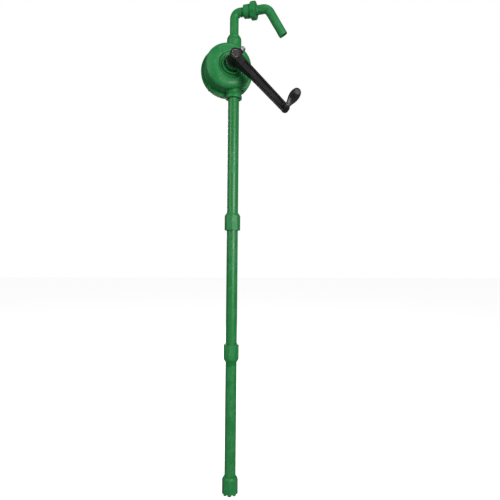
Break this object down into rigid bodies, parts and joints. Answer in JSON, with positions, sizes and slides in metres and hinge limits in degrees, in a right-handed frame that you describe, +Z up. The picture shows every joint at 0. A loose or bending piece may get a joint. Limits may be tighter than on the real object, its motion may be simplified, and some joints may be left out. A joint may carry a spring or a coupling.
{
  "type": "hand crank rotary drum pump",
  "caption": "Green hand-cranked rotary vane drum pump with black crank, swivelling bent spout and a long sectional suction tube ending in a notched strainer foot.",
  "frame": {"origin": "centre of the inlet collar's lower face, on the suction tube's axis, where the pump meets the drum's opening", "axes": "+Z up along the suction tube, -Y towards the crank and its user, +X towards the side the spout leans to"},
  "size_m": [0.2037, 0.2085, 1.1755],
  "materials": {
    "green_plastic": "satin injection-moulded",
    "black_paint": "satin black, slightly rough casting",
    "black_plastic": "matt moulded",
    "steel": "zinc plated",
    "dark_steel": "oiled ground bar",
    "bronze": "sintered bronze",
    "rubber": "matt",
    "rotor_nylon": "matt machined"
  },
  "bodies": {
    "pump_head": {"pump_body": "green_plastic", "rear_cover": "green_plastic", "cover_gasket": "rubber", "cover_screws": "steel", "front_bush": "bronze", "rear_bush": "bronze", "shaft_packing": "rubber", "gland_nut": "green_plastic", "inlet_seal": "rubber", "outlet_seal": "rubber", "suction_tube_upper": "green_plastic", "suction_tube_middle": "green_plastic", "suction_tube_lower": "green_plastic", "coupling_upper": "green_plastic", "coupling_lower": "green_plastic", "coupling_seals": "rubber", "foot_strainer": "green_plastic", "strainer_screen": "black_plastic"},
    "crank": {"drive_shaft": "dark_steel", "dust_ring": "rubber", "rotor": "rotor_nylon", "rotor_pin": "steel", "vane_springs_upper": "steel", "vane_springs_lower": "steel", "crank_arm": "black_paint", "retaining_ring": "steel", "hub_washer": "steel", "set_screw": "steel", "lock_nut": "steel", "grip_pin": "steel", "grip_washer": "steel", "grip_nut": "steel"},
    "hand_grip": {"grip": "black_plastic", "grip_cap": "black_plastic"},
    "top_vane": {"vane_upper": "rotor_nylon"},
    "bottom_vane": {"vane_lower": "rotor_nylon"},
    "outlet_riser": {"riser_elbow": "green_plastic", "union_gasket": "rubber"},
    "union_ring": {"union_nut": "green_plastic"},
    "spout_tube": {"spout": "green_plastic"}
  },
  "joints": [
    {"name": "crank_turn", "type": "hinge", "parent": "pump_head", "child": "crank", "pos_m": [-0.0065, 0, 0.072], "axis": [0, 1, 0], "continuous": true},
    {"name": "grip_spin", "type": "hinge", "parent": "crank", "child": "hand_grip", "pos_m": [0.11115, -0.08, -0.04082], "axis": [0, 1, 0], "continuous": true},
    {"name": "top_vane_slide", "type": "slide", "parent": "crank", "child": "top_vane", "axis": [0, 0, 1], "range_m": [0, 0.0082], "deforming": ["vane_springs_upper"]},
    {"name": "bottom_vane_slide", "type": "slide", "parent": "crank", "child": "bottom_vane", "axis": [0, 0, -1], "range_m": [0, 0.0082], "deforming": ["vane_springs_lower"]},
    {"name": "riser_swivel", "type": "hinge", "parent": "pump_head", "child": "outlet_riser", "pos_m": [0, 0, 0.15], "axis": [0, 0, 1], "range_deg": [0, 200]},
    {"name": "spout_swivel", "type": "hinge", "parent": "outlet_riser", "child": "spout_tube", "pos_m": [0.04568, -0.02034, 0.2118], "axis": [0.9135, -0.4067, 0], "range_deg": [0, 180]},
    {"name": "union_nut_turn", "type": "hinge", "parent": "outlet_riser", "child": "union_ring", "pos_m": [0.04385, -0.01952, 0.2118], "axis": [0.9135, -0.4067, 0], "continuous": true}
  ]
}
